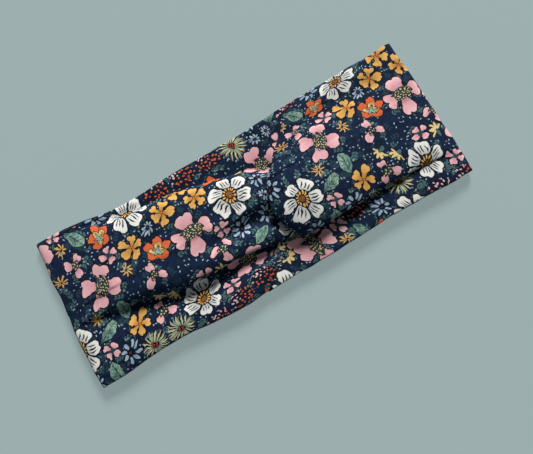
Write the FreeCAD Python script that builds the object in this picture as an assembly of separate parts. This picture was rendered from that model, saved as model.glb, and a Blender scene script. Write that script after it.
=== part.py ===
import FreeCAD, Part
import os

# Knotted headband, lying flat as a folded loop. Millimetres, +Z up.
# Two knitted tubes hook through each other at the knot. Each tube doubles back from the
# knot as two legs, an outer one and an inner one, that run round the end of the loop and
# meet the other tube's legs at the back seam, opposite the knot.
# The frame's origin is under the middle of the loop: X runs along it, Y across it.

V = FreeCAD.Vector

# Driving dimensions
LOOP_LENGTH = 240.0       # from one end fold to the other
BAND_WIDTH = 89.0         # across the band
TUBE_THICKNESS = 1.0      # a tube pressed flat: two layers of jersey
LAYER_GAP = 0.05          # between the two legs of one tube
LOOP_GAP = 1.8            # between the rear and the front of the loop
KNOT_X = 17.0             # the knot lies a little to the right of the middle
KNOT_HALF = 25.0          # half the knot's length along the band
KNOT_TOP = 17.0           # height of the knot
PUFF_TOP = 10.0           # height of the full front folds
SEAM_WIDTH = 4.0          # folded edge of the back seam
RIDGE_WIDTH = 3.0         # the lengthwise seam's ridge
JOINT_GAP = 0.4           # between stretches of cloth that turn against each other

# Worked out from them
HALF = LOOP_LENGTH / 2
SIDE = BAND_WIDTH / 2
BACK_X = -KNOT_X
REAR_TOP = 2 * TUBE_THICKNESS + LAYER_GAP
FRONT_BASE = REAR_TOP + LOOP_GAP
OUTER_BASE = FRONT_BASE + TUBE_THICKNESS + LAYER_GAP
KNOT_LEFT = KNOT_X - KNOT_HALF
KNOT_RIGHT = KNOT_X + KNOT_HALF
HALF_JOINT = JOINT_GAP / 2


def flat_leg(x0, x1, z0, inset=0.0):
    """One leg of a tube pressed flat, with its long edges rounded like folded cloth."""
    side = SIDE - inset
    leg = Part.makeBox(x1 - x0, 2 * side, TUBE_THICKNESS, V(x0, -side, z0))
    long_edges = [e for e in leg.Edges if abs(e.Length - (x1 - x0)) < 1e-6]
    return leg.makeFillet(TUBE_THICKNESS * 0.35, long_edges)


def section(x, base, tops):
    """A closed profile across the band: a flat base and a smooth top through (y, z)."""
    points = [V(x, y, z) for y, z in tops]
    start = V(x, tops[0][0], base)
    end = V(x, tops[-1][0], base)
    crown = Part.BSplineCurve()
    crown.interpolate(points)
    edges = [
        Part.makeLine(end, start),
        Part.makeLine(start, points[0]),
        crown.toShape(),
        Part.makeLine(points[-1], end),
    ]
    return Part.Wire(edges)


def full_leg(stations):
    """The outer front leg: lofted through profiles, full between its lengthwise folds."""
    wires = [section(x, OUTER_BASE, tops) for x, tops in stations]
    loft = Part.makeLoft(wires, True, False)
    envelope = Part.makeBox(LOOP_LENGTH, BAND_WIDTH, KNOT_TOP, V(-HALF, -SIDE, 0))
    return loft.common(envelope)


def turned(stations):
    """The same stations turned half a turn about the knot's own upright axis."""
    result = []
    for x, tops in reversed(stations):
        result.append((2 * KNOT_X - x, [(-y, z) for y, z in reversed(tops)]))
    return result


def left_stations():
    """Profiles of the left outer front leg, from the end fold to the knot."""
    edge = OUTER_BASE + 0.4
    low = OUTER_BASE + 1.0
    mid = OUTER_BASE + 2.6
    return [
        (-HALF, [(-SIDE, edge), (-24, low), (-9, low), (14, low), (SIDE, edge)]),
        (-80, [(-SIDE, edge), (-30, mid + 1), (-10, mid), (15, mid + 3), (SIDE, edge)]),
        (-40, [(-SIDE, edge), (-32, mid + 2), (-18, mid - 1), (8, PUFF_TOP), (SIDE, edge)]),
        (KNOT_LEFT, [(-38, edge), (-30, mid), (-20, mid - 1), (4, PUFF_TOP), (40, edge)]),
    ]


def right_stations():
    """Profiles of the right outer front leg, from the knot to the end fold."""
    near = [s for s in turned(left_stations()) if s[0] < HALF - 10]
    near[0] = (KNOT_RIGHT + JOINT_GAP, near[0][1])
    edge = OUTER_BASE + 0.4
    low = OUTER_BASE + 1.0
    return near + [(HALF, [(-SIDE, edge), (-14, low), (9, low), (24, low), (SIDE, edge)])]


def left_knot_bight():
    """The left tube's turn: two legs side by side and the bar that joins them."""
    base = FRONT_BASE + TUBE_THICKNESS + 0.6
    height = 4.6
    outer_y = SIDE - 3.0
    inner_y = 11.0
    bar_x = KNOT_X - 4.0
    reach = KNOT_X + 18.0
    outline = Part.makePolygon([
        V(KNOT_LEFT + 0.1, -outer_y, base),
        V(reach - 16, -outer_y, base),
        V(reach, -outer_y + 18, base),
        V(reach, outer_y - 18, base),
        V(reach - 16, outer_y, base),
        V(KNOT_LEFT + 0.1, outer_y, base),
        V(KNOT_LEFT + 0.1, inner_y, base),
        V(bar_x, inner_y, base),
        V(bar_x, -inner_y, base),
        V(KNOT_LEFT + 0.1, -inner_y, base),
        V(KNOT_LEFT + 0.1, -outer_y, base),
    ])
    bight = Part.Face(outline).extrude(V(0, 0, height))
    upper = [e for e in bight.Edges if e.BoundBox.ZMin > base + height - 1e-6]
    return bight.makeFillet(1.6, upper)


def right_knot_bight():
    """The right tube's turn: it comes over the left tube, round it and back under it."""
    half_wall = 10.4
    wall = 3.0
    tip = KNOT_X - 9.0
    cavity_low = FRONT_BASE + TUBE_THICKNESS
    cavity_high = cavity_low + 6.0
    top_left = 19.0
    top_right = 29.0
    mid = KNOT_X + 2.0
    top_plan = Part.makePolygon([
        V(tip, -half_wall, cavity_high),
        V(mid, -top_right, cavity_high),
        V(KNOT_RIGHT, -top_right + 2, cavity_high),
        V(KNOT_RIGHT, top_right, cavity_high),
        V(mid + 6, top_left, cavity_high),
        V(tip, half_wall, cavity_high),
        V(tip, -half_wall, cavity_high),
    ])
    top = Part.Face(top_plan).extrude(V(0, 0, KNOT_TOP - cavity_high))
    crown = [e for e in top.Edges if e.BoundBox.ZMin > KNOT_TOP - 1e-6]
    top = top.makeFillet(4.5, crown)
    turn = Part.makeBox(wall, 2 * half_wall, cavity_high - FRONT_BASE + 2,
                        V(tip, -half_wall, FRONT_BASE))
    under = Part.makeBox(KNOT_RIGHT - tip, 2 * half_wall, TUBE_THICKNESS,
                         V(tip, -half_wall, FRONT_BASE))
    return top.fuse([turn, under]).removeSplitter()


def ridge(x0, x1, z0):
    """The lengthwise seam of a tube, a low ridge down the middle of its inside face."""
    height = 0.35
    return Part.makeBox(x1 - x0, RIDGE_WIDTH, height, V(x0, -RIDGE_WIDTH / 2, z0))


def back_seam():
    """The joined edges of all four legs, folded over and oversewn inside the loop."""
    height = 0.8
    inset = 1.0
    seam = Part.makeBox(SEAM_WIDTH, 2 * (SIDE - inset), height,
                        V(BACK_X - JOINT_GAP - SEAM_WIDTH, -SIDE + inset, REAR_TOP + 0.05))
    top = [e for e in seam.Edges if e.BoundBox.ZMin > REAR_TOP + height]
    return seam.makeFillet(0.3, top)


def build_nodes():
    """Every node's name and solid."""
    rear_inner = TUBE_THICKNESS + LAYER_GAP
    back_left = BACK_X - HALF_JOINT
    back_right = BACK_X + HALF_JOINT
    knot_side = KNOT_RIGHT + JOINT_GAP
    ridge_rear = REAR_TOP + LAYER_GAP
    ridge_front = FRONT_BASE - LAYER_GAP - 0.35
    seam_left = back_left - SEAM_WIDTH - 1.0
    return {
        "left_outer_leg_rear": flat_leg(-HALF, back_left, 0.0),
        "left_inner_leg_rear": flat_leg(-HALF, back_left, rear_inner, 0.5),
        "left_outer_leg_front": full_leg(left_stations()),
        "left_inner_leg_front": flat_leg(-HALF, KNOT_LEFT, FRONT_BASE, 0.5),
        "left_knot_bight": left_knot_bight(),
        "right_knot_bight": right_knot_bight(),
        "right_outer_leg_front": full_leg(right_stations()),
        "right_inner_leg_front": flat_leg(knot_side, HALF, FRONT_BASE, 0.5),
        "right_outer_leg_rear": flat_leg(back_right, HALF, 0.0),
        "right_inner_leg_rear": flat_leg(back_right, HALF, rear_inner, 0.5),
        "left_tube_seam_rear": ridge(-HALF + 2, seam_left, ridge_rear),
        "left_tube_seam_front": ridge(-HALF + 2, KNOT_LEFT, ridge_front),
        "right_tube_seam_front": ridge(knot_side, HALF - 2, ridge_front),
        "right_tube_seam_rear": ridge(back_right + 1, HALF - 2, ridge_rear),
        "back_seam": back_seam(),
    }


def main():
    os.makedirs("parts", exist_ok=True)
    for name, shape in build_nodes().items():
        shape.exportStep("parts/" + name + ".step")


main()
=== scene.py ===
import math
import bpy
import numpy as np
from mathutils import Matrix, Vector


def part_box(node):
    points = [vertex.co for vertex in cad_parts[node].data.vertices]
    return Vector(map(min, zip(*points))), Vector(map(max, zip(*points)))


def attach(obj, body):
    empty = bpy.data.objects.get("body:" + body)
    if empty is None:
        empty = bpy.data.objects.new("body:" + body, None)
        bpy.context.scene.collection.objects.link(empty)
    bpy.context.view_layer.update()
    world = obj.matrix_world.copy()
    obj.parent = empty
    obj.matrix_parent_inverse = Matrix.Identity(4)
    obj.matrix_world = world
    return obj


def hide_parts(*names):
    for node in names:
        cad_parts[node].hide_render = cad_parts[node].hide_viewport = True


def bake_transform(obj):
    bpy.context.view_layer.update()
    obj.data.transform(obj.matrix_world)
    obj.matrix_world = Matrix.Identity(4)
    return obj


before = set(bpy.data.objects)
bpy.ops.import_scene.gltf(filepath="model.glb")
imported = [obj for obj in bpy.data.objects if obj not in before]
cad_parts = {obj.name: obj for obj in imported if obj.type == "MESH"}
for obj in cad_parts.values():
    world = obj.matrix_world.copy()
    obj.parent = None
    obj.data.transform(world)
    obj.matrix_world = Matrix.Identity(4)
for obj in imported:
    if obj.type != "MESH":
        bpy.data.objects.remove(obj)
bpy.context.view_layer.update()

# Knotted headband, lying flat. Shapes are worked out in millimetres, in the CAD frame, and turned
# into metres when a mesh is made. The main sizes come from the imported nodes.
MM = 0.001


def node_box(name):
    """A CAD node's box in millimetres: its lowest and its highest corner."""
    low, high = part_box(name)
    return np.array(low) / MM, np.array(high) / MM


REAR_LOW, REAR_HIGH = node_box("left_outer_leg_rear")
FRONT_HIGH = node_box("left_inner_leg_front")[1]
END_X = -REAR_LOW[0]                       # half the loop's length
SIDE = REAR_HIGH[1]                        # half the band's width
BACK_X = REAR_HIGH[0]                      # the back seam
MEET_X = BACK_X + 0.1                      # where the tubes' cut ends meet
KNOT_X = -BACK_X                           # the knot is opposite the back seam
KNOT_HALF = 25.0                           # half the knot's length along the band
TUBE = REAR_HIGH[2]                        # a tube pressed flat
OUTER_BASE = FRONT_HIGH[2] + 0.1           # underside of the outer leg on top
FOLD_Z = (OUTER_BASE + TUBE) / 2           # height of the end folds' middle
FOLD_X = END_X - FOLD_Z                    # where the end folds begin


# ------------------------ smooth surfaces

def spline(points, count, closed=False):
    """A uniform cubic B-spline along the first axis, sampled at count places."""
    if closed:
        padded = np.concatenate([points[-1:], points, points[:2]])
        at = np.arange(count) * len(points) / count
    else:
        first = 2 * points[:1] - points[1:2]
        last = 2 * points[-1:] - points[-2:-1]
        padded = np.concatenate([first, points, last])
        at = np.linspace(0, len(points) - 1, count)
    i = np.minimum(at.astype(int), len(padded) - 4)
    f = (at - i).reshape((-1,) + (1,) * (points.ndim - 1))
    weights = [
        (1 - f) ** 3 / 6,
        (3 * f ** 3 - 6 * f ** 2 + 4) / 6,
        (-3 * f ** 3 + 3 * f ** 2 + 3 * f + 1) / 6,
        f ** 3 / 6,
    ]
    return sum(w * padded[i + k] for k, w in enumerate(weights))


def blend_value(x, low, high):
    """0 before low, 1 after high, and smooth between."""
    t = np.clip((x - low) / (high - low), 0, 1)
    return t * t * (3 - 2 * t)


# ------------------------ the outer legs

def station(at, strip, pleat, fold, tuck, crown, shoulder, hollow, ridge, lip, roll, valley, low,
            under=None):
    """One profile across an outer leg on top of the loop, as (at, points).

    From the far edge: a strip, the pleat that the main fold hangs over, the main fold with its
    crown and shoulder, a hollow and a ridge, the valley that the ridge's lip hangs over, and the
    low fold beside the near edge. tuck and roll are how far the main fold and the lip hang over.
    The strip and the pleat are heights. The others are (y, z) places."""
    fy, fz = fold
    cy, cz = crown
    sy, sz = shoulder
    ry, rz = ridge
    ly, lz = lip
    vy, vz = valley
    wy, wz = low
    base = OUTER_BASE
    if under is None:
        under = base
    open_share = min(1.0, tuck / 2.5)
    top = [
        (SIDE - 2.0, base),
        (SIDE, base + 0.15),
        (SIDE, strip - 0.25),
        (SIDE - 2.6, strip),
        ((SIDE + fy) / 2 + 0.4, strip + 0.15),
        (fy + 2.0, strip - 0.2 * open_share),
        (fy + 0.8 - tuck, pleat),
        (fy - 0.4 + 0.9 * open_share, (pleat + 2 * fz) / 3),
        (fy - 1.4 + 0.9 * open_share, fz),
        (fy - 4.0, fz + 0.45 * (cz - fz)),
        ((fy + cy) / 2 - 1.0, 0.2 * fz + 0.8 * cz),
        (cy, cz),
        ((cy + sy) / 2, (cz + sz) / 2 + 0.1),
        (sy, sz),
        hollow,
        (ry, rz),
        ((ry + ly) / 2, (rz + lz) / 2 + 0.5),
        (ly, lz),
        (ly + roll, (lz + 2 * vz) / 3),
        (vy, vz),
        ((vy + wy) / 2, 0.35 * vz + 0.65 * wz),
        (wy, wz),
        (-SIDE + 3.2, 0.3 * base + 0.7 * wz),
        (-SIDE, 0.7 * base + 0.3 * wz + 0.4),
        (-SIDE, base + 0.15),
        (-SIDE + 2.0, base),
    ]
    beneath = [(-SIDE * 0.75, base), (-SIDE * 0.4, under), (0.0, under),
               (SIDE * 0.4, under), (SIDE * 0.75, base)]
    return at, top + beneath


TOP_COUNT = 26          # how many of an outer leg's points are its top skin
# Which share of a ring's columns are its top skin, by how many points its profile has.
TOP_SHARE = {31: 25.5 / 31, 14: 8.5 / 14}
# How far each line of the leg runs towards the knot, in the order of station()'s points.
LEFT_REACH = [46] * 6 + [42, 32, 27, 25, 24, 24, 24, 24, 23, 22, 21, 20, 18, 11, 3, -4, -10,
                         -16, -17, -17, -14, 2, 14, 28, 42]
RIGHT_REACH = [50] * 6 + [44, 20, 21, 25, 28, 29.5, 29.3, 28, 26, 23.5, 21, 18.5, 16, 12, 5, -1,
                          -6, -10, -11, -11, -9, 5, 16, 28, 44]

# The left tube's outer leg, from the end fold to the knot. "at" is x along the main fold.
LEFT_STATIONS = [
    station(-117, 6.0, 6.0, (41, 6.0), 0, (22, 6.1), (6, 6.1), (1, 6.1), (-4, 6.1),
            (-8.5, 6.1), 0, (-12, 6.05), (-27, 6.1)),
    station(-101, 6.1, 5.9, (40.5, 6.4), 0.4, (20, 8.0), (4, 8.9), (-1, 9.1), (-5, 9.0),
            (-9.8, 7.6), 0.5, (-12.6, 5.9), (-28, 7.6)),
    station(-82, 6.1, 5.8, (39.5, 7.0), 1.2, (18, 10.0), (2, 11.6), (-2.5, 11.9), (-6.5, 11.7),
            (-12.2, 9.2), 1.0, (-14.4, 5.4), (-29, 8.2)),
    station(-62, 6.2, 5.7, (38, 7.8), 1.8, (15, 11.6), (-2, 13.4), (-7.5, 13.8), (-12.5, 13.5),
            (-19.8, 10.4), 1.8, (-21.8, 5.1), (-34, 7.9)),
    station(-42, 6.4, 5.6, (33.5, 8.6), 2.4, (12, 12.6), (-3, 13.8), (-8, 13.8), (-13.4, 13.9),
            (-21.4, 10.8), 2.4, (-23.4, 4.9), (-35.5, 7.5)),
    station(-24, 6.6, 5.5, (28, 9.2), 3.0, (10, 13.0), (-2, 13.4), (-8, 10.4), (-13.2, 13.6),
            (-21.6, 10.9), 3.0, (-23.4, 4.9), (-36, 7.4)),
    station(-10, 6.8, 5.5, (24.5, 9.8), 3.2, (9, 12.9), (-2, 12.6), (-7.8, 6.2), (-13.2, 12.2),
            (-22.6, 9.8), 3.2, (-24.4, 5.1), (-35.5, 7.7)),
    station(0, 6.8, 5.5, (20, 10.0), 3.4, (9, 12.9), (-1.6, 12.4), (-8.4, 4.0), (-15.8, 12.0),
            (-24.6, 9.4), 2.8, (-26.4, 5.1), (-36, 7.8)),
    station(9, 6.8, 5.5, (12, 9.0), 3.0, (5, 10.6), (-1, 10.0), (-9.5, 3.4), (-18.5, 10.8),
            (-26, 8.4), 2.0, (-28, 5.3), (-36, 8.0)),
    station(17, 6.6, 5.5, (9, 6.8), 2.0, (3, 7.2), (-1, 6.8), (-10, 4.8), (-20, 8.4),
            (-26, 7.0), 1.0, (-28, 5.6), (-35, 7.8)),
    station(24, 6.2, 5.4, (8, 6.0), 1.0, (3, 6.1), (-1, 6.0), (-9, 5.7), (-20, 6.6),
            (-25, 6.0), 0.5, (-27, 5.8), (-35, 6.8)),
    station(21, 5.8, 5.3, (8, 5.5), 0.5, (3, 5.6), (-1, 5.5), (-9, 5.4), (-20, 5.5),
            (-25, 5.4), 0.2, (-27, 5.3), (-35, 5.4)),
]
# The right tube's outer leg, seen after half a turn about the knot, so that it too runs from
# its end fold to the knot. Its main fold ends in the round lobe that lies over the left tube.
RIGHT_STATIONS = [
    station(-83, 6.0, 6.0, (30, 6.1), 0, (8, 6.2), (-4, 6.2), (-11, 6.2), (-18, 6.2),
            (-25, 6.15), 0, (-31, 6.1), (-38, 6.1)),
    station(-67, 6.5, 6.0, (28.5, 7.4), 0.9, (8, 9.4), (-4, 9.3), (-11, 9.0), (-18, 8.5),
            (-25, 7.6), 0, (-31, 6.9), (-38, 7.0)),
    station(-49, 6.4, 5.8, (28, 8.8), 2.0, (8, 11.2), (-4, 11.0), (-11, 10.4), (-18, 9.6),
            (-25, 8.3), 0, (-31, 7.1), (-38, 7.6)),
    station(-32, 6.3, 5.6, (28, 9.8), 3.0, (7, 12.6), (-5, 12.2), (-12, 11.3), (-18, 10.3),
            (-25, 8.7), 0, (-31, 7.0), (-38, 8.0), 5.6),
    station(-18, 6.2, 5.5, (28.3, 10.8), 4.0, (7, 14.0), (-5, 13.4), (-12, 12.2), (-18, 11.0),
            (-24.5, 9.0), 0, (-30.5, 7.2), (-37, 8.3), 6.4),
    station(-6, 6.2, 5.5, (29, 11.6), 5.0, (8, 15.3), (-4, 14.7), (-11, 13.4), (-17, 12.0),
            (-23.5, 9.8), 0, (-29, 8.0), (-36, 8.6), 7.4),
    station(4, 6.1, 5.5, (29, 12.1), 6.0, (8, 16.2), (-3, 15.8), (-9, 14.7), (-15, 13.2),
            (-21, 11.0), 0.2, (-26.5, 8.8), (-35, 8.8), 8.2),
    station(13, 6.1, 5.5, (29, 12.3), 7.0, (8, 16.8), (-1, 16.3), (-6, 15.3), (-12, 13.9),
            (-18, 11.9), 0.2, (-24, 9.3), (-34, 8.9), 8.6),
    station(20, 6.0, 5.5, (29, 12.0), 7.0, (9, 16.8), (1, 16.3), (-4.5, 15.4), (-10.5, 14.1),
            (-16.5, 12.2), 0.2, (-22.5, 9.8), (-33.5, 8.9), 9.0),
    station(25, 6.0, 5.5, (28.5, 11.4), 6.0, (10, 16.0), (3, 15.5), (-3, 14.7), (-9.5, 13.4),
            (-15.5, 11.7), 0.2, (-22, 9.9), (-33, 8.8), 9.2),
    station(29.5, 5.9, 5.4, (28, 9.8), 4.0, (10, 13.0), (3, 12.8), (-2, 12.4), (-8.5, 11.4),
            (-14.5, 10.4), 0.2, (-21.5, 9.4), (-32.5, 8.2), 9.0),
    station(26, 5.7, 5.4, (26, 8.6), 2.0, (10, 9.6), (3, 9.4), (-2, 9.2), (-8, 9.0),
            (-14, 8.8), 0.1, (-21, 8.4), (-32, 7.6), 8.4),
]


def back_rows(back, start):
    """Where the control rows of a rear leg are, and how much of the leg's thickness each has:
    the cut end is pinched by the back seam."""
    toward = math.copysign(1.0, start - back)
    rows = [(back, 0.6), (back + 0.4 * toward, 0.95), (back + 2 * toward, 1.0)]
    return rows + [(x, 1.0) for x in np.linspace(back, start, 6)[1:-1]]


def outer_rows(stations, reach, back):
    """Control rows of an outer leg from the back seam, round the end fold, to the knot."""
    start = stations[0][0]
    end = max(at for at, _ in stations)
    flat_y = [y for y, _ in stations[0][1]]
    skin = np.array([1.0] * TOP_COUNT + [0.0] * (len(flat_y) - TOP_COUNT))
    skin[[0, TOP_COUNT - 1]] = 0.0
    skin[[1, TOP_COUNT - 2]] = 0.2
    rows = []
    for x, plump in back_rows(back, start):
        rows.append([(x, y, TUBE * (0.5 + (0.5 - s) * plump)) for y, s in zip(flat_y, skin)])
    for angle in (90, 135, 180, 225):
        turn = math.radians(angle)
        swell = 1.0 if angle == 90 else 1.1
        row = []
        for y, s in zip(flat_y, skin):
            radius = (FOLD_Z - TUBE * (1 - s)) * swell
            row.append((start + radius * math.cos(turn), y, FOLD_Z - radius * math.sin(turn)))
        rows.append(row)
    for at, points in stations:
        share = (at - start) / (end - start)
        rows.append([(start + (r - start) * share, y, z) for r, (y, z) in zip(reach, points)])
    return np.array(rows, float)


def inner_rows(start, back, front_end, near_edge):
    """Control rows of an inner leg, a tube pressed flat inside the outer one."""
    side = SIDE - 0.5
    across = np.array([1, 1, 0.75, 0.4, 0, -0.4, -0.75, -1, -1, -0.75, -0.4, 0, 0.4, 0.75])
    skin = np.array([0.3, 0.7, 1, 1, 1, 1, 1, 0.7, 0.3, 0, 0, 0, 0, 0])
    outer = FOLD_Z - TUBE - 0.05
    thick = TUBE - 0.1
    rows = []
    for x, plump in back_rows(back, start):
        rows.append([(x, y * side, FOLD_Z - outer + thick * (0.5 + (0.5 - s) * plump))
                     for y, s in zip(across, skin)])
    for angle in (90, 135, 180, 225):
        turn = math.radians(angle)
        swell = 1.0 if angle == 90 else 1.1
        row = []
        for y, s in zip(across, skin):
            radius = (outer - thick * (1 - s)) * swell
            row.append((start + radius * math.cos(turn), y * side,
                        FOLD_Z - radius * math.sin(turn)))
        rows.append(row)
    for share in np.linspace(0, 1, 9):
        x = start + (front_end - start) * share
        low = -side + (near_edge + side) * float(blend_value(share, 0.55, 1.0))
        middle, half = (side + low) / 2, (side - low) / 2
        rows.append([(x, middle + y * half, FOLD_Z + outer - thick * (1 - s))
                     for y, s in zip(across, skin)])
    return np.array(rows, float)


# ------------------------ limp, creased cloth

def smooth_noise(u, v, seed):
    """Smooth random values from -1 to 1, about one hill or hollow to each whole step of u and v."""
    table = np.random.default_rng(seed).uniform(-1, 1, (64, 64))
    i, j = np.floor(u).astype(int), np.floor(v).astype(int)
    f, g = blend_value(u - i, 0, 1), blend_value(v - j, 0, 1)
    i, j = i % 63, j % 63
    low = table[i, j] * (1 - f) + table[i + 1, j] * f
    high = table[i, j + 1] * (1 - f) + table[i + 1, j + 1] * f
    return low * (1 - g) + high * g


def bell(x, middle, reach):
    """1 at the middle, and nearly 0 beyond twice the reach."""
    return np.exp(-((x - middle) / reach) ** 2)


def settle(points, seed):
    """Moves points of the straight band to where they are once it is laid down limply. The last
    small part differs from leg to leg, so that their edges don't line up."""
    x, y, z = points[..., 0], points[..., 1], points[..., 2]
    far = blend_value(y, 6, SIDE)
    near = blend_value(-y, 6, SIDE)
    left = blend_value(-x, 50, END_X)
    dip = 4.6 * bell(x, -62, 26) + 3.0 * bell(x, -6, 42) - 1.2 * blend_value(x, 80, END_X)
    rise = 2.4 * bell(x, -80, 22) - 1.3 * bell(x, -36, 12) + 0.9 * bell(x, 66, 16)
    bow = 2.0 * blend_value(-y, -12, 20) - 2.0 * blend_value(y, 5, SIDE)
    stray = smooth_noise(x / 13, y / 30, seed) * 0.55
    waver = smooth_noise(x / 5.5 + 9, y / 30, seed + 1) * 0.2
    moved_y = y - far * dip + near * rise + (far - near) * (stray + waver)
    moved_x = x - left * bow + smooth_noise(x / 30, y / 11, seed + 2) * 0.5
    return np.stack([moved_x, moved_y, z], axis=-1)


def crease(points, along, across, seed):
    """Raises and lowers the full folds in soft creases that run along the band and gather at
    the knot."""
    x, z = points[..., 0], points[..., 2]
    full = blend_value(z, OUTER_BASE + 0.9, OUTER_BASE + 3.5)
    gather = bell(x, KNOT_X, 50)
    lift = smooth_noise(along / 34, across / 9, seed) * 0.35
    lift += smooth_noise(along / 17, across / 4.2, seed + 1) * (0.10 + 0.28 * gather)
    lift += smooth_noise(along / 8, across / 6, seed + 2) * 0.12
    creased = points.copy()
    creased[..., 2] += full * lift
    return creased


def turn_over(points):
    """Half a turn about the knot's upright axis."""
    turned = points.copy()
    turned[..., 0] = 2 * KNOT_X - points[..., 0]
    turned[..., 1] = -points[..., 1]
    return turned


# ------------------------ meshes

def cloth_lengths(grid, middle_row, middle_column, mirror):
    """Each grid point's place on the flat cloth: along the tube and across it. The lengths run
    from the end fold towards the knot, or back from it where mirror is -1."""
    along_steps = np.linalg.norm(np.diff(grid, axis=0), axis=2)
    along = np.concatenate([np.zeros((1, grid.shape[1])), np.cumsum(along_steps, axis=0)])
    along -= along[middle_row][None, :]
    ring = np.concatenate([grid, grid[:, :1]], axis=1)
    across_steps = np.linalg.norm(np.diff(ring, axis=1), axis=2)
    across = np.concatenate([np.zeros((grid.shape[0], 1)), np.cumsum(across_steps, axis=1)],
                            axis=1)
    across = mirror * (across[:, middle_column:middle_column + 1] - across)
    across += ring[:, middle_column:middle_column + 1, 1]
    along = mirror * np.concatenate([along, along[:, :1]], axis=1)
    return along, across


def end_strip(ring, top):
    """The corners of the faces that join a ring's top skin, its first columns, to its underside,
    each to the nearest place across the band."""
    under = np.arange(len(ring) - 1, top - 1, -1)
    gaps = np.abs(ring[:top, None, 1] - ring[None, under, 1])
    match = np.maximum.accumulate(np.argmin(gaps, axis=1))
    match[0], match[-1] = 0, len(under) - 1
    strip = []
    for j in range(top - 1):
        beneath = under[match[j]:match[j + 1] + 1]
        strip.append([j + 1, j, *map(int, beneath)])
    return strip


def ring_faces(rows, columns):
    """Faces between rows of closed rings, and one face over each end."""
    faces = []
    for i in range(rows - 1):
        for j in range(columns):
            k = (j + 1) % columns
            faces.append((i * columns + j, i * columns + k,
                          (i + 1) * columns + k, (i + 1) * columns + j))
    last = (rows - 1) * columns
    return faces + [tuple(range(columns))[::-1], tuple(range(last, last + columns))]


def tube_mesh(name, grid, along, across, top):
    """A closed mesh from rows of closed rings, with the cloth's own lengths as its UVs."""
    rows, columns = grid.shape[:2]
    vertices = [tuple(p) for p in (grid.reshape(-1, 3) * MM)]
    faces = ring_faces(rows, columns)[:-2]
    uvs = []
    for i in range(rows - 1):
        for j in range(columns):
            for a, b in ((i, j), (i, j + 1), (i + 1, j + 1), (i + 1, j)):
                uvs.extend((along[a, b], across[a, b]))
    for i in (0, rows - 1):
        for corners in end_strip(grid[i], top):
            corners = corners[::-1] if i else corners
            faces.append([i * columns + j for j in corners])
            for j in corners:
                uvs.extend((along[i, j], across[i, j]))
    mesh = bpy.data.meshes.new(name)
    mesh.from_pydata(vertices, [], faces)
    layer = mesh.uv_layers.new(name="cloth")
    layer.data.foreach_set("uv", np.array(uvs, np.float32))
    mesh.polygons.foreach_set("use_smooth", [True] * len(faces))
    pairs = np.zeros(len(mesh.edges) * 2, int)
    mesh.edges.foreach_get("vertices", pairs)
    row = pairs.reshape(-1, 2) // columns
    rim = (row == 0).all(axis=1) | (row == rows - 1).all(axis=1)
    sharp = mesh.attributes.new("sharp_edge", "BOOLEAN", "EDGE")
    sharp.data.foreach_set("value", rim)
    mesh.validate()
    mesh.update()
    piece = bpy.data.objects.new(name, mesh)
    bpy.context.collection.objects.link(piece)
    return piece


# ------------------------ shader nodes as sums

class Wire:
    """A shader socket that can be used in sums. Plain numbers stay on the nodes' own sockets."""
    tree = None

    def __init__(self, socket):
        self.socket = socket

    def __add__(self, other):
        return number("ADD", self, other)

    def __radd__(self, other):
        return number("ADD", other, self)

    def __sub__(self, other):
        return number("SUBTRACT", self, other)

    def __rsub__(self, other):
        return number("SUBTRACT", other, self)

    def __mul__(self, other):
        return number("MULTIPLY", self, other)

    def __rmul__(self, other):
        return number("MULTIPLY", other, self)


def feed(socket, value):
    """Links a Wire to a socket, or sets the socket to a plain value."""
    if isinstance(value, Wire):
        Wire.tree.links.new(value.socket, socket)
    else:
        socket.default_value = value


def node(kind, **settings):
    made = Wire.tree.nodes.new("ShaderNode" + kind)
    for name, value in settings.items():
        setattr(made, name, value)
    return made


def number(operation, *values, clamp=False):
    made = node("Math", operation=operation, use_clamp=clamp)
    for socket, value in zip(made.inputs, values):
        feed(socket, value)
    return Wire(made.outputs[0])


def vector(operation, *values):
    made = node("VectorMath", operation=operation)
    for socket, value in zip(made.inputs, values):
        feed(socket, value)
    return Wire(made.outputs["Value" if operation == "LENGTH" else "Vector"])


def split(value):
    made = node("SeparateXYZ")
    feed(made.inputs[0], value)
    return [Wire(socket) for socket in made.outputs]


def join(x, y):
    made = node("CombineXYZ")
    feed(made.inputs[0], x)
    feed(made.inputs[1], y)
    return Wire(made.outputs[0])


def rotate(value, angle):
    made = node("VectorRotate", rotation_type="Z_AXIS")
    feed(made.inputs["Vector"], value)
    feed(made.inputs["Angle"], angle)
    return Wire(made.outputs[0])


def mix(data_type, share, first, second):
    """first where share is 0, and second where it is 1, for "VECTOR" or "RGBA"."""
    made = node("Mix", data_type=data_type)
    kind = {"VECTOR": "Vector", "RGBA": "Color"}[data_type]
    feed(made.inputs[0], share)
    for letter, value in (("A", first), ("B", second)):
        feed(next(s for s in made.inputs if s.identifier == f"{letter}_{kind}"), value)
    return Wire(next(s for s in made.outputs if s.identifier == f"Result_{kind}"))


def noise(place, size, detail=1.0, output="Fac"):
    made = node("TexNoise", noise_dimensions="2D")
    feed(made.inputs["Vector"], place)
    made.inputs["Scale"].default_value = 1 / size
    made.inputs["Detail"].default_value = detail
    return Wire(made.outputs[output])


def cells(place, size, randomness=0.9):
    """The offset from the middle of the nearest cell, and three random values of that cell."""
    made = node("TexVoronoi", voronoi_dimensions="2D", feature="F1")
    feed(made.inputs["Vector"], place)
    made.inputs["Scale"].default_value = 1 / size
    made.inputs["Randomness"].default_value = randomness
    offset = vector("SUBTRACT", place, Wire(made.outputs["Position"]))
    values = node("SeparateColor")
    feed(values.inputs[0], Wire(made.outputs["Color"]))
    return offset, [Wire(socket) for socket in values.outputs]


# ------------------------ the print on the jersey

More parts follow.
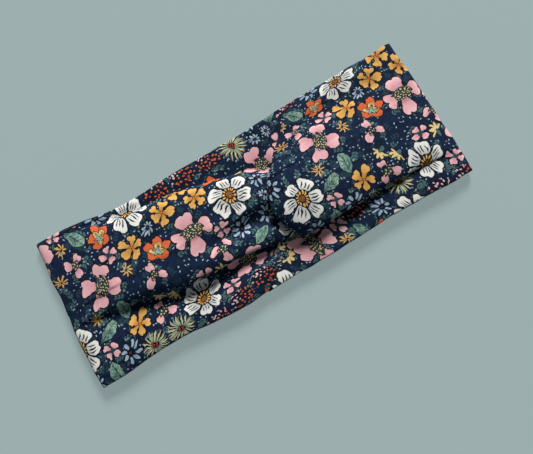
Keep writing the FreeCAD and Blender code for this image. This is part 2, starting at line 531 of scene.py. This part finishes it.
# Simple shapes, no image. The kinds of flower, the palette, the repeat along the band and the
# large flowers' rough places follow the photographed print. A motif is drawn at an offset from
# its middle in millimetres. mottle is smooth noise from 0 to 1 that varies its tints.

def shade(red, green, blue):
    """An 8-bit screen colour as the linear one that a shader takes."""
    return tuple(((c / 255 + 0.055) / 1.055) ** 2.4 for c in (red, green, blue)) + (1.0,)


NAVY = shade(15, 28, 49)
NAVY_LIGHT = shade(22, 40, 72)
INK = shade(13, 21, 34)
TEAL = shade(40, 68, 78)
SAGE = shade(146, 182, 164)
SAGE_DEEP = shade(76, 110, 108)
WHITE = shade(242, 242, 236)
WHITE_DEEP = shade(176, 186, 190)
PINK = shade(246, 194, 199)
PINK_DEEP = shade(212, 148, 156)
MUSTARD = shade(234, 180, 100)
MUSTARD_DEEP = shade(188, 132, 62)
CREAM = shade(232, 206, 146)
ORANGE = shade(222, 106, 62)
BROWN = shade(110, 66, 46)
BLUE = shade(176, 198, 220)
BLUE_DEEP = shade(132, 160, 188)

REPEAT = (141.0, 104.0)     # the print's repeat along and across the band
EDGE = 0.16                 # how soft a printed edge is
HALO = 0.7                  # the bare ground kept round a motif
SHRINK = 1.1                # how much smaller a motif is drawn than its own sizes
TURN_SCALE = 0.01           # a motif's turn, carried in the third value of its offset

# Each motif of the print: how many there are on one repeat, and the circle that each keeps free.
MOTIFS = {
    "white_flower": (4, 13.2),
    "pink_flower": (4, 12.6),
    "small_pink": (4, 7.4),
    "tiny_pink": (6, 5.4),
    "heart_flower": (5, 7.8),
    "pansy": (3, 7.8),
    "daisy": (6, 6.6),
    "small_daisy": (4, 4.6),
    "burst": (3, 8.2),
    "dots": (4, 8.6),
    "leaf": (5, 6.4),
    "trumpet": (4, 4.8),
    "star": (4, 4.4),
}
# The large flowers' places, in the order of MOTIFS, set near the photographed ones.
LARGE_PLACES = [(21, -22), (-7, 12), (-46, -38), (-64, 36), (-94, 4), (-36, 4), (-14, -32),
                (-124, 34)]


PLACE_SEED = 20
PLACE_STEPS = 600


def motif_places():
    """Places on one repeat for all the motifs, pushed apart until they hardly overlap."""
    rng = np.random.default_rng(PLACE_SEED)
    names = [name for name, (count, _) in MOTIFS.items() for _ in range(count)]
    radius = np.array([MOTIFS[name][1] for name in names])
    places = rng.uniform(0, 1, (len(names), 2)) * REPEAT
    fixed = len(LARGE_PLACES)
    places[:fixed] = LARGE_PLACES
    for _ in range(PLACE_STEPS):
        gap = places[:, None] - places[None]
        gap -= np.round(gap / REPEAT) * REPEAT
        reach = np.linalg.norm(gap, axis=2) + 1e-6
        np.fill_diagonal(reach, 1e6)
        overlap = np.clip(radius[:, None] + radius[None] - reach, 0, None)
        push = (gap / reach[..., None] * overlap[..., None]).sum(axis=1)
        places[fixed:] += 0.25 * push[fixed:]
    turns = rng.uniform(-math.pi, math.pi, len(names))
    spots = {}
    for name, (x, y), turn in zip(names, places, turns):
        spots.setdefault(name, []).append((float(x), float(y), float(turn)))
    return spots


def nearest(place, spots):
    """The offset from the nearest of the spots, turned into that motif's own directions."""
    half = (REPEAT[0] / 2, REPEAT[1] / 2, 1.0)
    minus_half = tuple(-h for h in half)
    best = None
    for x, y, turn in spots:
        offset = vector("SUBTRACT", place, (x, y, -turn * TURN_SCALE))
        offset = vector("WRAP", offset, half, minus_half)
        reach = vector("LENGTH", offset)
        if best is None:
            best, best_reach = offset, reach
            continue
        best = mix("VECTOR", number("LESS_THAN", reach, best_reach), best, offset)
        best_reach = number("MINIMUM", reach, best_reach)
    turn = split(best)[2] * (1 / TURN_SCALE)
    return vector("MULTIPLY", rotate(best, turn), (SHRINK, SHRINK, 0))


def petal(offset, count, twist=0.0):
    """The offset in the nearest of count petals: x runs out along the petal, y across it."""
    x, y, _ = split(offset)
    around = number("ARCTAN2", y, x)
    half = math.pi / count
    angle = number("WRAP", around + twist, half, -half)
    reach = vector("LENGTH", offset)
    return join(reach * number("COSINE", angle), reach * number("SINE", angle))


def oval(offset, middle, size):
    """How deep a place is inside an oval, in millimetres."""
    scaled = vector("MULTIPLY_ADD", offset, (1 / size[0], 1 / size[1], 0),
                    (-middle[0] / size[0], -middle[1] / size[1], 0))
    thin = min(size)
    return number("MULTIPLY_ADD", vector("LENGTH", scaled), -thin, thin)


def cover(depth, grow=0.0):
    """1 inside a shape and 0 outside it, with its edge moved out by grow."""
    return number("MULTIPLY_ADD", depth, 1 / EDGE, 0.5 + grow / EDGE, clamp=True)


def paint(under, depth, colour, grow=0.0):
    return mix("RGBA", cover(depth, grow), under, colour)


def ramp(value, low, high):
    """0 at low and 1 at high."""
    return number("MULTIPLY_ADD", value, 1 / (high - low), -low / (high - low), clamp=True)


def both(first, second):
    return number("MINIMUM", first, second)


def either(first, second):
    return number("MAXIMUM", first, second)


def white_flower(under, offset, mottle):
    reach = vector("LENGTH", offset)
    out = petal(offset, 6)
    x, y, _ = split(out)
    lobes = oval(vector("ABSOLUTE", out), (10.4, 2.0), (3.0, 2.4))
    bloom = either(oval(out, (8.8, 0), (4.2, 3.6)), lobes)
    under = paint(under, bloom, INK, HALO)
    tint = mix("RGBA", ramp(reach + mottle * 5, 6.0, 13.5), WHITE_DEEP, WHITE)
    under = paint(under, bloom, tint)
    hatch = join(x, number("WRAP", y, 0.95, -0.95))
    hatch = both(oval(hatch, (8.6, 0), (2.4, 0.4)), 2.5 - number("ABSOLUTE", y))
    under = paint(under, hatch, INK)
    under = paint(under, oval(offset, (0, 0), (5.5, 5.5)), INK)
    under = paint(under, oval(petal(offset, 13), (3.9, 0), (1.1, 0.52)), MUSTARD)
    under = paint(under, oval(offset, (0, 0), (2.2, 2.2)), BROWN)
    grains, _ = cells(offset, 1.1)
    grains = both(oval(grains, (0, 0), (0.3, 0.3)), 2.0 - reach)
    return paint(under, grains, MUSTARD_DEEP)


def pink_petals(under, offset, mottle, count, size):
    out = petal(offset, count)
    lobes = oval(vector("ABSOLUTE", out), (9.8 * size, 2.3 * size), (3.4 * size, 3.0 * size))
    bloom = either(oval(out, (7.4 * size, 0), (4.4 * size, 3.7 * size)), lobes)
    under = paint(under, bloom, INK, HALO)
    reach = vector("LENGTH", offset)
    tint = mix("RGBA", ramp(reach + mottle * 6, 5 * size + 2, 15 * size + 2), PINK_DEEP, PINK)
    return paint(under, bloom, tint)


def dotted_middle(under, offset, mottle, size):
    """The dark heart of a pink flower, full of small ringed dots."""
    heart = oval(offset, (0, 0), (size, size * 0.75)) + (mottle - 0.5) * 3.5
    under = paint(under, heart, INK, 0.3)
    under = paint(under, heart, TEAL)
    dot, _ = cells(offset, 1.7, 0.6)
    dot = both(oval(dot, (0, 0), (0.72, 0.72)), heart)
    under = paint(under, dot, INK)
    return paint(under, dot - 0.3, CREAM)


def pink_flower(under, offset, mottle):
    return dotted_middle(pink_petals(under, offset, mottle, 4, 1.0), offset, mottle, 6.4)


def small_pink(under, offset, mottle):
    return dotted_middle(pink_petals(under, offset, mottle, 3, 0.55), offset, mottle, 3.1)


def tiny_pink(under, offset, mottle):
    under = pink_petals(under, offset, mottle, 4, 0.42)
    return paint(under, oval(petal(offset, 4, math.pi / 4), (0.8, 0), (1.9, 0.9)), TEAL)


def heart_flower(under, offset, mottle):
    out = petal(offset, 5)
    lobes = oval(vector("ABSOLUTE", out), (5.9, 1.25), (1.9, 1.5))
    bloom = either(oval(out, (4.1, 0), (3.2, 1.45)), lobes)
    under = paint(under, bloom, INK, HALO)
    reach = vector("LENGTH", offset)
    tint = mix("RGBA", ramp(reach + mottle * 4, 3.5, 8.5), MUSTARD_DEEP, MUSTARD)
    under = paint(under, bloom, tint)
    return paint(under, oval(offset, (0, 0), (0.75, 0.75)), ORANGE)


def pansy(under, offset, mottle):
    bloom = oval(petal(offset, 5), (4.9, 0), (2.9, 2.75)) + (mottle - 0.5) * 1.6
    under = paint(under, bloom, INK, HALO)
    under = paint(under, bloom, ORANGE)
    inner = oval(petal(offset, 3, 0.5), (2.5, 0), (2.2, 1.85))
    under = paint(under, inner, INK, 0.35)
    tint = mix("RGBA", ramp(mottle, 0.35, 0.65), MUSTARD_DEEP, CREAM)
    under = paint(under, inner, tint)
    aside = vector("ADD", offset, (-0.9, -1.1, 0))
    sprout = oval(petal(aside, 5), (1.1, 0), (1.6, 0.42))
    under = paint(under, sprout, INK, 0.25)
    return paint(under, sprout, SAGE)


def daisy_petals(under, offset, mottle, count, size):
    bloom = oval(petal(offset, count), (4.3 * size, 0), (2.15 * size, 0.9 * size))
    under = paint(under, bloom, INK, HALO)
    tint = mix("RGBA", ramp(mottle, 0.35, 0.65), BLUE_DEEP, BLUE)
    under = paint(under, bloom, tint)
    return paint(under, oval(offset, (0, 0), (0.5, 0.5)), BROWN)


def daisy(under, offset, mottle):
    return daisy_petals(under, offset, mottle, 8, 1.0)


def small_daisy(under, offset, mottle):
    return daisy_petals(under, offset, mottle, 9, 0.62)


def burst(under, offset, mottle):
    """Thin rays round a dark speckled middle."""
    under = paint(under, oval(offset, (0, 0), (6.5, 6.5)), NAVY)
    under = paint(under, oval(petal(offset, 19), (5.0, 0), (3.4, 0.34)), SAGE)
    under = paint(under, oval(petal(offset, 15, 0.1), (6.1, 0), (2.8, 0.36)), CREAM)
    middle = oval(offset, (0, 0), (2.5, 2.5))
    under = paint(under, middle, INK)
    speck, _ = cells(offset, 1.2)
    speck = both(oval(speck, (0, 0), (0.32, 0.32)), middle)
    return paint(under, speck, ORANGE)


def dots(under, offset, mottle):
    """A round spray of dots, most of them orange and the rest pale pink."""
    dot, (first, _, _) = cells(offset, 2.7, 0.8)
    round_patch = oval(offset, (0, 0), (8.6, 8.6)) + (mottle - 0.5) * 3.0
    under = paint(under, round_patch, NAVY)
    spray = both(oval(dot, (0, 0), (0.7, 0.58)), round_patch)
    x, _, _ = split(offset)
    tint = mix("RGBA", ramp(x + first * 3, 3.6, 3.9), ORANGE, PINK)
    return paint(under, spray, tint)


def leaf(under, offset, mottle):
    x, y, _ = split(offset)
    y = number("ABSOLUTE", y)
    width = number("MULTIPLY_ADD", x * x, -4.0 / 50, 4.0)
    blade = width - y
    under = paint(under, blade, INK, 0.5)
    tint = mix("RGBA", ramp(mottle * 2 + x * 0.06, 0.6, 1.4), SAGE_DEEP, SAGE)
    under = paint(under, blade, tint)
    side = number("WRAP", x - y, 1.1, -1.1)
    veins = both(0.17 - number("ABSOLUTE", side), blade - 0.9)
    return paint(under, either(veins, both(0.2 - y, blade)), INK)


def trumpet(under, offset, mottle):
    x, _, _ = split(offset)
    rays = both(oval(petal(offset, 9), (3.3, 0), (2.3, 0.95)), x - 0.4)
    under = paint(under, rays, INK, 0.45)
    under = paint(under, rays, CREAM)
    cup = oval(offset, (-1.0, 0), (1.9, 1.3))
    under = paint(under, cup, INK, 0.3)
    return paint(under, cup, SAGE_DEEP)


def star(under, offset, mottle):
    under = paint(under, oval(petal(offset, 8), (2.4, 0), (1.7, 0.4)), MUSTARD)
    return paint(under, oval(offset, (0, 0), (0.6, 0.6)), INK)


def sprigs(under, place, size, leafy, bare, colours):
    """Small sprigs scattered over the ground, each a stem with two pairs of leaflets."""
    offset, (first, second, third) = cells(place, size)
    offset = rotate(offset, first * (2 * math.pi))
    x, y, _ = split(offset)
    pair = join(number("WRAP", x, 1.0, -1.0), number("ABSOLUTE", y))
    pair = rotate(vector("SUBTRACT", pair, (0.1, 0.85, 0)), -0.6)
    reach = 2.9 - number("ABSOLUTE", x)
    leaflets = both(oval(pair, (0, 0), (0.95 * leafy, 0.42 * leafy)), reach)
    stem = both(0.1 - number("ABSOLUTE", y), reach)
    tint = mix("RGBA", number("GREATER_THAN", second, 0.5), *colours)
    sprig = both(either(leaflets, stem), third * 4 - 4 * bare)
    return paint(under, sprig, tint)


def seeds(under, place):
    """Sparse pale seeds on the ground."""
    offset, (first, second, third) = cells(place, 2.1)
    depth = oval(rotate(offset, first * (2 * math.pi)), (0, 0), (0.55, 0.3))
    depth = both(depth, second * 5 - 3.6)
    return paint(under, depth, mix("RGBA", number("GREATER_THAN", third, 0.6), BLUE, SAGE))


LAYERS = [dots, burst, leaf, small_daisy, daisy, star, trumpet, heart_flower, pansy, tiny_pink,
          small_pink, pink_flower, white_flower]


def print_colour(place):
    """The flowered print at a place on the cloth, in millimetres."""
    sway = vector("SUBTRACT", noise(place, 13.0, 0.0, "Color"), (0.5, 0.5, 0.5))
    place = vector("MULTIPLY_ADD", sway, (4.0, 4.0, 0), place)
    ground = place
    wobble = vector("SUBTRACT", noise(place, 4.0, 2.0, "Color"), (0.5, 0.5, 0.5))
    place = vector("MULTIPLY_ADD", wobble, (2.2, 2.2, 0), place)
    mottle = noise(place, 2.6, 2.0)
    spots = motif_places()
    colour = mix("RGBA", ramp(mottle, 0.3, 0.7), NAVY, NAVY_LIGHT)
    colour = sprigs(colour, ground, 5.6, 1.0, 0.58, (TEAL, SAGE_DEEP))
    colour = sprigs(colour, vector("ADD", ground, (31, 17, 0)), 7.4, 1.2, 0.55, (SAGE_DEEP, TEAL))
    colour = seeds(colour, ground)
    for draw in LAYERS:
        colour = draw(colour, nearest(place, spots[draw.__name__]), mottle)
    return colour


WALE = 0.62         # the knit's columns of stitches, across the band
COURSE = 0.5        # its rows of stitches, along the band


def make_jersey():
    """Brushed cotton jersey with the flowered print."""
    material = bpy.data.materials.new("printed_jersey")
    material.use_nodes = True
    Wire.tree = material.node_tree
    shader = Wire.tree.nodes["Principled BSDF"]
    place = Wire(node("UVMap", uv_map="cloth").outputs[0])
    feed(shader.inputs["Base Color"], print_colour(place))
    feed(shader.inputs["Roughness"], ramp(noise(place, 1.4, 2.0), -2.4, 1.0))
    shader.inputs["Specular IOR Level"].default_value = 0.12
    shader.inputs["Sheen Weight"].default_value = 0.04
    shader.inputs["Sheen Roughness"].default_value = 0.45
    shader.inputs["Sheen Tint"].default_value = (0.8, 0.86, 1.0, 1)
    x, y, _ = split(place)
    wales = number("ABSOLUTE", number("SINE", y * (math.pi / WALE)))
    courses = number("SINE", x * (2 * math.pi / COURSE) + number("SINE", y * (2 * math.pi / WALE)))
    knit = wales + courses * 0.3 + noise(place, 0.9, 3.0) * 1.2
    bump = node("Bump")
    bump.inputs["Strength"].default_value = 0.35
    bump.inputs["Distance"].default_value = 0.05 * MM
    feed(bump.inputs["Height"], knit)
    feed(shader.inputs["Normal"], Wire(bump.outputs[0]))
    return material


JERSEY = make_jersey()


# ------------------------ the tubes

CUT_X = 106                         # how far out a leg's end piece meets its knot piece
RIGHT_PRINT = (-141.0, -10.0)       # the right tube's shift on the print, near the photo's
INNER_PRINT = (40, 30)
OUTER_COUNTS = (260, 230)           # rows along an outer leg and columns round it
INNER_COUNTS = (160, 60)
INNER_FRONT = 30                    # x where an inner leg ends inside the knot
INNER_EDGE = 6                      # y of its near edge there


def make_leg(leg, rows, cut_x, counts, turned, print_at, seed, flat=False):
    """The end piece and the knot piece of one leg, cut apart at cut_x. A flat leg has its print
    laid straight across it, also where it narrows."""
    grid = spline(rows, counts[0])
    grid = spline(grid.swapaxes(0, 1), counts[1], closed=True).swapaxes(0, 1)
    top = int(counts[1] * TOP_SHARE[len(rows[0])])
    middle_column = counts[1] // 3
    if turned:
        grid = turn_over(grid)
    grid = settle(grid, seed)
    middle_row = int(np.argmax(np.abs(grid[:, 0, 0])))
    mirror = -1 if turned else 1
    along, across = cloth_lengths(grid, middle_row, middle_column, mirror)
    if flat:
        y = np.concatenate([grid[..., 1], grid[:, :1, 1]], axis=1) * mirror
        inner_skin = np.arange(counts[1] + 1) >= top
        across = np.where(inner_skin, 3 * SIDE + y, SIDE - y)
    along += print_at[0] - mirror * END_X
    across += print_at[1]
    grid = crease(grid, along[:, :-1], across[:, :-1], seed + 10)
    cut = middle_row + int(np.argmin(np.abs(grid[middle_row:, middle_column, 0] - cut_x)))
    pieces = []
    for end, part in (("_end", slice(0, cut + 1)), ("_knot", slice(cut, None))):
        piece = tube_mesh(leg + end, grid[part], along[part], across[part], top)
        piece.data.materials.append(JERSEY)
        pieces.append(piece)
    return pieces


def make_cloth():
    turned_meet = 2 * KNOT_X - MEET_X
    outer_left = outer_rows(LEFT_STATIONS, LEFT_REACH, MEET_X)
    outer_right = outer_rows(RIGHT_STATIONS, RIGHT_REACH, turned_meet)
    inner_left = inner_rows(-FOLD_X, MEET_X, INNER_FRONT, INNER_EDGE)
    inner_right = inner_rows(2 * KNOT_X - FOLD_X, turned_meet, INNER_FRONT, INNER_EDGE)
    left_end, left_knot = make_leg(
        "left_outer", outer_left, -CUT_X, OUTER_COUNTS, False, (0, 0), 1)
    right_end, right_knot = make_leg(
        "right_outer", outer_right, CUT_X, OUTER_COUNTS, True, RIGHT_PRINT, 2)
    left_inner_end, left_inner_knot = make_leg(
        "left_inner", inner_left, -CUT_X, INNER_COUNTS, False, INNER_PRINT, 3, flat=True)
    right_inner_end, right_inner_knot = make_leg(
        "right_inner", inner_right, CUT_X, INNER_COUNTS, True, INNER_PRINT, 4, flat=True)
    mid = FOLD_Z * MM
    reach = 0.0008
    for piece in (left_end, left_inner_end):
        mid - reach
        mid + reach
        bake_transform(piece)
    for piece in (right_end, right_inner_end):
        mid + reach
        mid - reach
        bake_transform(piece)
    for piece in (left_knot, right_knot, left_inner_knot, right_inner_knot):
        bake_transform(piece)
    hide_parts("left_outer_leg_rear")
    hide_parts("left_outer_leg_front", "left_knot_bight")
    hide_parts("right_outer_leg_rear")
    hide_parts("right_outer_leg_front", "right_knot_bight")
    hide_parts("left_inner_leg_rear")
    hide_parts("left_inner_leg_front")
    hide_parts("right_inner_leg_rear")
    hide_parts("right_inner_leg_front")


# ------------------------ seams

THREAD = 0.11           # radius of the sewing thread
RIDGE_HALF = 1.5        # half the width of a tube's lengthwise seam
RIDGE_HIGH = 0.36       # its height
SEAM_STEP = 0.8         # how far apart the places along a lengthwise seam are
LEFT_SEAM_BACK = BACK_X - 5.2       # the lengthwise seams stop beside the back seam
RIGHT_SEAM_BACK = BACK_X + 1.2


def make_thread():
    """Spun polyester thread, dyed to match the ground of the print."""
    material = bpy.data.materials.new("seam_thread")
    material.use_nodes = True
    Wire.tree = material.node_tree
    shader = Wire.tree.nodes["Principled BSDF"]
    place = Wire(node("UVMap", uv_map="cloth").outputs[0])
    x, y, _ = split(place)
    twist = number("SINE", x * 14.0 + y * 9.0)
    tint = mix("RGBA", ramp(twist + noise(place, 1.5), -1.0, 2.0), NAVY_LIGHT, TEAL)
    feed(shader.inputs["Base Color"], tint)
    feed(shader.inputs["Roughness"], ramp(noise(place, 0.8), -1.6, 1.4))
    shader.inputs["Specular IOR Level"].default_value = 0.3
    bump = node("Bump")
    bump.inputs["Strength"].default_value = 0.5
    bump.inputs["Distance"].default_value = 0.03 * MM
    feed(bump.inputs["Height"], twist)
    feed(shader.inputs["Normal"], Wire(bump.outputs[0]))
    return material


THREAD_MATERIAL = make_thread()


def thread_rings(path, radius, sides=6):
    """Rings round a path, for a thread that follows it."""
    ahead = np.gradient(path, axis=0)
    ahead /= np.linalg.norm(ahead, axis=1, keepdims=True)
    aside = np.cross(ahead, (0.31, 0.17, 0.93))
    aside /= np.linalg.norm(aside, axis=1, keepdims=True)
    upward = np.cross(aside, ahead)
    turns = 2 * math.pi * np.arange(sides) / sides
    rings = [path + radius * (math.cos(t) * aside + math.sin(t) * upward) for t in turns]
    return np.stack(rings, axis=1)


def seam_piece(name, cloth, threads):
    """One mesh of a seam's folded cloth and its threads, each given as rows of closed rings."""
    vertices, faces, uvs, kinds = [], [], [], []
    for kind, rings in [(0, cloth)] + [(1, thread) for thread in threads]:
        rows, columns = rings.shape[:2]
        steps = np.linalg.norm(np.diff(rings[:, 0], axis=0), axis=1)
        along = np.concatenate([[0], np.cumsum(steps)])
        first = len(vertices)
        vertices.extend(map(tuple, rings.reshape(-1, 3) * MM))
        for face in ring_faces(rows, columns):
            faces.append([first + v for v in face])
            uvs.extend((along[v // columns], v % columns * 0.3) for v in face)
            kinds.append(kind)
    mesh = bpy.data.meshes.new(name)
    mesh.from_pydata(vertices, [], faces)
    layer = mesh.uv_layers.new(name="cloth")
    layer.data.foreach_set("uv", np.array(uvs, np.float32).ravel())
    mesh.polygons.foreach_set("material_index", kinds)
    mesh.polygons.foreach_set("use_smooth", [True] * len(faces))
    mesh.materials.append(JERSEY)
    mesh.materials.append(THREAD_MATERIAL)
    mesh.validate()
    mesh.update()
    piece = bpy.data.objects.new(name, mesh)
    bpy.context.collection.objects.link(piece)
    return piece


def tube_seam(name, start, back, front_end, turned):
    """The lengthwise seam on a tube's inner leg, on the face inside the loop: along the rear,
    round the end fold and along the front."""
    radius = FOLD_Z - 2 * TUBE - 0.07
    places = [(x, FOLD_Z - radius, 0, 1) for x in np.arange(back, start, -SEAM_STEP)]
    for turn in np.radians(np.arange(90, 271, 9)):
        places.append((start + radius * math.cos(turn), FOLD_Z - radius * math.sin(turn),
                       -math.cos(turn), math.sin(turn)))
    places += [(x, FOLD_Z + radius, 0, -1)
               for x in np.arange(start + SEAM_STEP, front_end, SEAM_STEP)]
    x, z, inward_x, inward_z = np.array(places).T
    step = np.hypot(np.diff(x), np.diff(z))
    along = np.concatenate([[0], np.cumsum(step)])
    pucker = 1 + 0.1 * np.sin(along * 2 * math.pi / 2.6)

    def laid(y, high):
        """Places at y across the band and high above the leg's face."""
        line = np.stack([x + inward_x * high, y + 0 * x, z + inward_z * high], axis=-1)
        return settle(turn_over(line) if turned else line, 3)

    profile = [(-1, 0.0), (-0.95, 0.6), (-0.6, 0.95), (0, 1.0), (0.6, 0.95), (0.95, 0.6),
               (1, 0.0)]
    cloth = np.stack([laid(y * RIDGE_HALF, h * RIDGE_HIGH * pucker) for y, h in profile], axis=1)
    zigzag = RIDGE_HALF * 0.85 * np.where(np.arange(len(x)) % 4 < 2, 1, -1)
    over = RIDGE_HIGH + 0.3 * THREAD
    threads = [thread_rings(laid(zigzag, over), THREAD),
               thread_rings(laid(-zigzag, over), THREAD)]
    return seam_piece(name, cloth, threads)


def back_seam():
    """The four legs' joined edges, folded over and oversewn across the inside of the loop."""
    low, high = node_box("back_seam")
    y = np.arange(low[1] - 0.4, high[1] + 0.5, 0.5)
    waver = 0.12 * smooth_noise(y / 6, 0 * y, 31)

    def laid(x, z):
        return settle(np.stack([x + waver, y, z + 0 * y], axis=-1), 3)

    middle, half = (low[0] + high[0]) / 2, (high[0] - low[0]) / 2
    profile = [(-1, 0.0), (-1.02, 0.5), (-0.9, 0.9), (-0.4, 1.0), (0.5, 0.92), (0.9, 0.8),
               (1, 0.4), (1, 0.0)]
    tall = high[2] - low[2]
    pucker = 1 + 0.05 * np.sin(y * 2 * math.pi / 2.2)
    cloth = np.stack([laid(middle + u * half, low[2] + v * tall * pucker) for u, v in profile],
                     axis=1)
    zigzag = middle + half * np.where(np.arange(len(y)) % 4 < 2, -1.0, 0.35)
    top = high[2] + 0.3 * THREAD
    chain = middle + half * (0.5 + 0.06 * np.where(np.arange(len(y)) % 2 < 1, 1, -1))
    threads = [thread_rings(laid(zigzag, top), THREAD), thread_rings(laid(chain, top), THREAD)]
    return seam_piece("back_seam_sewn", cloth[:, ::-1], threads)


def make_seams():
    mid = FOLD_Z * MM
    reach = 0.0004
    left = tube_seam("left_tube_seam", -FOLD_X, LEFT_SEAM_BACK, KNOT_X - KNOT_HALF, False)
    mid - reach
    mid + reach
    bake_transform(left)
    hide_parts("left_tube_seam_rear", "left_tube_seam_front")
    right = tube_seam("right_tube_seam", 2 * KNOT_X - FOLD_X, 2 * KNOT_X - RIGHT_SEAM_BACK,
                      KNOT_X - KNOT_HALF - 0.4, True)
    mid + reach
    mid - reach
    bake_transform(right)
    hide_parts("right_tube_seam_front", "right_tube_seam_rear")
    back = back_seam()
    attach(back, "rear_left")
    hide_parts("back_seam")


# ------------------------ stage

# The camera's direction in degrees, and its distance and target in metres.
VIEW_AZIMUTH = 30.5
VIEW_ELEVATION = 81.0
VIEW_DISTANCE = 0.341
VIEW_TARGET = (0.0004, -0.0122, 0.0)
LENS = 40.0


def make_camera():
    azimuth = math.radians(VIEW_AZIMUTH)
    elevation = math.radians(VIEW_ELEVATION)
    data = bpy.data.cameras.new("camera")
    data.lens = LENS
    data.sensor_width = 36
    camera = bpy.data.objects.new("camera", data)
    bpy.context.collection.objects.link(camera)
    flat = VIEW_DISTANCE * math.cos(elevation)
    camera.location = (
        VIEW_TARGET[0] - flat * math.sin(azimuth),
        VIEW_TARGET[1] - flat * math.cos(azimuth),
        VIEW_TARGET[2] + VIEW_DISTANCE * math.sin(elevation),
    )
    camera.rotation_euler = (math.pi / 2 - elevation, 0, -azimuth)
    bpy.context.scene.camera = camera


def make_lamp(name, direction, elevation, strength, softness, colour):
    """A far soft lamp that shines on the headband from a direction on the floor plan."""
    data = bpy.data.lights.new(name, "SUN")
    data.energy = strength
    data.angle = math.radians(softness)
    data.color = colour
    lamp = bpy.data.objects.new(name, data)
    bpy.context.collection.objects.link(lamp)
    lamp.location = (0, 0, 1)
    lamp.rotation_euler = (math.radians(elevation - 90), 0, -math.radians(direction))


# The floor's radius and height in metres: flat, and curved up far away, so that no view shows
# its edge.
FLOOR = [(3.5, 0), (4.4, 0.02), (5.1, 0.12), (5.6, 0.36), (5.9, 0.75), (6.1, 1.6)]
FLOOR_SIDES = 64


def make_stage():
    turns = 2 * math.pi * np.arange(FLOOR_SIDES) / FLOOR_SIDES
    corners = [(r * math.cos(t), r * math.sin(t), z) for r, z in FLOOR for t in turns]
    floor_mesh = bpy.data.meshes.new("floor")
    floor_mesh.from_pydata(corners, [], ring_faces(len(FLOOR), FLOOR_SIDES)[:-1])
    floor_mesh.polygons.foreach_set("use_smooth", [True] * len(floor_mesh.polygons))
    floor = bpy.data.objects.new("floor", floor_mesh)
    bpy.context.collection.objects.link(floor)
    material = bpy.data.materials.new("floor_paint")
    material.use_nodes = True
    shader = material.node_tree.nodes["Principled BSDF"]
    shader.inputs["Base Color"].default_value = (0.122, 0.155, 0.158, 1)
    shader.inputs["Emission Color"].default_value = (0.332, 0.423, 0.429, 1)
    shader.inputs["Emission Strength"].default_value = 0.67
    shader.inputs["Roughness"].default_value = 0.9
    floor_mesh.materials.append(material)
    make_lamp("key", direction=VIEW_AZIMUTH + 3, elevation=29, strength=4.7, softness=20,
              colour=(1, 0.985, 0.965))
    make_lamp("fill", direction=VIEW_AZIMUTH + 120, elevation=65, strength=0.08, softness=60,
              colour=(0.95, 0.97, 1))
    world = bpy.data.worlds.new("room")
    world.use_nodes = True
    background = world.node_tree.nodes["Background"]
    background.inputs["Color"].default_value = (0.8, 0.85, 0.9, 1)
    background.inputs["Strength"].default_value = 0.065
    bpy.context.scene.world = world
    bpy.context.scene.view_settings.view_transform = "Standard"


make_cloth()
make_seams()
make_camera()
make_stage()
